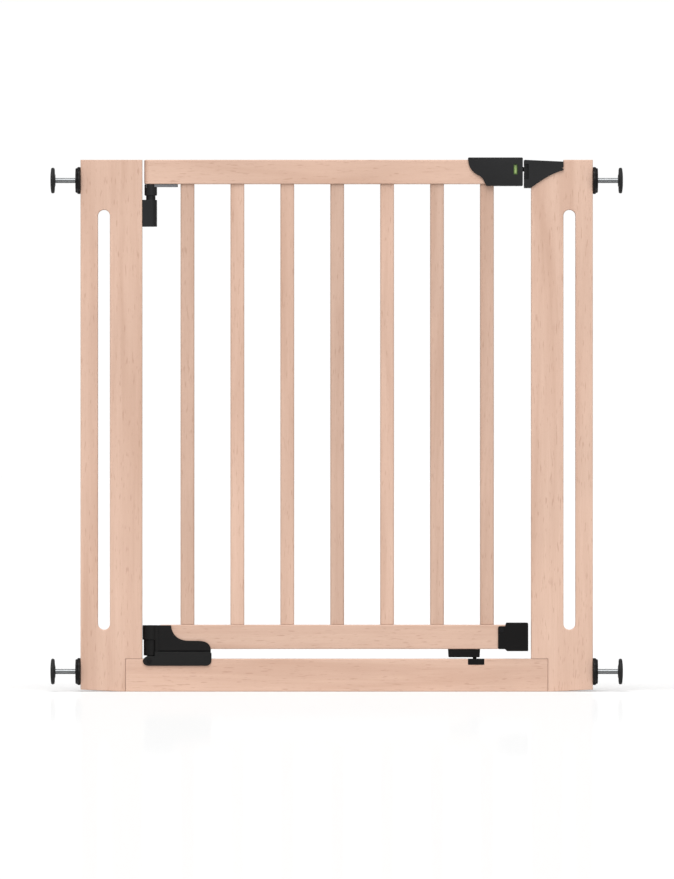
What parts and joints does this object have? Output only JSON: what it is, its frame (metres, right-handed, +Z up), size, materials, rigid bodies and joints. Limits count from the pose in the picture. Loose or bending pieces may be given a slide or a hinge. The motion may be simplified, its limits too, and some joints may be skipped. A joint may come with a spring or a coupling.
{
  "type": "safety baby gate",
  "caption": "Pressure-fit wooden stair gate: slotted side panels, base bar, barred swing door with latch, and threaded wall spindles with handwheels.",
  "frame": {"origin": "on the floor, under the middle of the gate, in the middle of the boards' thickness", "axes": "+X to the latch side, +Y through the gate in the direction that the door opens, +Z up"},
  "size_m": [0.8774, 0.0428, 0.8183],
  "materials": {
    "beech": "clear matt lacquer over straight-grained beech",
    "black_plastic": "satin moulded plastic",
    "steel": "bright zinc plate on rolled thread",
    "dark_steel": "dark satin paint on strip steel",
    "rubber": "matt moulded rubber",
    "green_plastic": "light green, slightly glossy"
  },
  "bodies": {
    "frame": {"left_panel": "beech", "right_panel": "beech", "base_bar": "beech", "top_hinge_bracket": "black_plastic", "bottom_hinge_foot": "black_plastic", "latch_keep": "black_plastic", "stop_block": "black_plastic", "base_screw_left_lower": "steel", "base_screw_left_upper": "steel", "base_screw_right_lower": "steel", "base_screw_right_upper": "steel", "bracket_screw_lower": "steel", "bracket_screw_upper": "steel", "foot_screw_front": "dark_steel", "foot_screw_rear": "steel", "keep_screw_inner": "steel", "keep_screw_outer": "steel", "stop_block_screw": "steel"},
    "door": {"top_rail": "beech", "bottom_rail": "beech", "bar_1": "beech", "bar_2": "beech", "bar_3": "beech", "bar_4": "beech", "bar_5": "beech", "bar_6": "beech", "bar_7": "beech", "top_hinge_barrel": "black_plastic", "top_hinge_plate": "dark_steel", "bottom_hinge_cover": "black_plastic", "latch_housing": "black_plastic", "latch_rear_cover": "black_plastic", "latch_spring": "steel", "end_cap": "black_plastic", "stop_housing": "black_plastic", "plate_screw_inner": "steel", "plate_screw_outer": "steel", "hinge_cover_screw_upper": "steel", "hinge_cover_screw_lower": "steel", "latch_cover_screw_rail": "steel", "latch_cover_screw_boss": "steel", "end_cap_screw": "dark_steel", "stop_housing_screw": "steel"},
    "latch_slider": {"latch_bolt": "black_plastic", "thumb_slide": "black_plastic", "lock_indicator": "green_plastic"},
    "stop_pin": {"stop_pin": "black_plastic"},
    "wheel_top_right": {"handwheel_top_right": "black_plastic"},
    "wheel_top_left": {"handwheel_top_left": "black_plastic"},
    "wheel_bottom_right": {"handwheel_bottom_right": "black_plastic"},
    "wheel_bottom_left": {"handwheel_bottom_left": "black_plastic"},
    "spindle_top_right": {"spindle_top_right": "steel", "wall_pad_top_right": "rubber"},
    "spindle_top_left": {"spindle_top_left": "steel", "wall_pad_top_left": "rubber"},
    "spindle_bottom_right": {"spindle_bottom_right": "steel", "wall_pad_bottom_right": "rubber"},
    "spindle_bottom_left": {"spindle_bottom_left": "steel", "wall_pad_bottom_left": "rubber"}
  },
  "joints": [
    {"name": "door_swing", "type": "hinge", "parent": "frame", "child": "door", "pos_m": [-0.285, 0, 0.4], "axis": [0, 0, 1], "range_deg": [0, 90]},
    {"name": "latch_slide", "type": "slide", "parent": "door", "child": "latch_slider", "axis": [-1, 0, 0], "range_m": [0, 0.008], "stiffness_N_per_m": 300, "springref_m": -0.005, "deforming": ["latch_spring"]},
    {"name": "stop_pin_lift", "type": "slide", "parent": "door", "child": "stop_pin", "axis": [0, 0, 1], "range_m": [0, 0.005]},
    {"name": "wheel_turn_top_right", "type": "hinge", "parent": "frame", "child": "wheel_top_right", "pos_m": [0.3965, 0, 0.7832], "axis": [-1, 0, 0], "range_deg": [0, 6336]},
    {"name": "wheel_turn_top_left", "type": "hinge", "parent": "frame", "child": "wheel_top_left", "pos_m": [-0.3965, 0, 0.7832], "axis": [1, 0, 0], "range_deg": [0, 6336]},
    {"name": "wheel_turn_bottom_right", "type": "hinge", "parent": "frame", "child": "wheel_bottom_right", "pos_m": [0.3965, 0, 0.0305], "axis": [-1, 0, 0], "range_deg": [0, 6336]},
    {"name": "wheel_turn_bottom_left", "type": "hinge", "parent": "frame", "child": "wheel_bottom_left", "pos_m": [-0.3965, 0, 0.0305], "axis": [1, 0, 0], "range_deg": [0, 6336]},
    {"name": "spindle_slide_top_right", "type": "slide", "parent": "frame", "child": "spindle_top_right", "axis": [1, 0, 0], "range_m": [0, 0.022]},
    {"name": "spindle_slide_top_left", "type": "slide", "parent": "frame", "child": "spindle_top_left", "axis": [-1, 0, 0], "range_m": [0, 0.022]},
    {"name": "spindle_slide_bottom_right", "type": "slide", "parent": "frame", "child": "spindle_bottom_right", "axis": [1, 0, 0], "range_m": [0, 0.022]},
    {"name": "spindle_slide_bottom_left", "type": "slide", "parent": "frame", "child": "spindle_bottom_left", "axis": [-1, 0, 0], "range_m": [0, 0.022]}
  ],
  "couplings": [
    {"joint": "wheel_turn_top_right", "follows": "spindle_slide_top_right", "rad_per_m": 5026.6},
    {"joint": "wheel_turn_top_left", "follows": "spindle_slide_top_left", "rad_per_m": 5026.6},
    {"joint": "wheel_turn_bottom_right", "follows": "spindle_slide_bottom_right", "rad_per_m": 5026.6},
    {"joint": "wheel_turn_bottom_left", "follows": "spindle_slide_bottom_left", "rad_per_m": 5026.6}
  ]
}
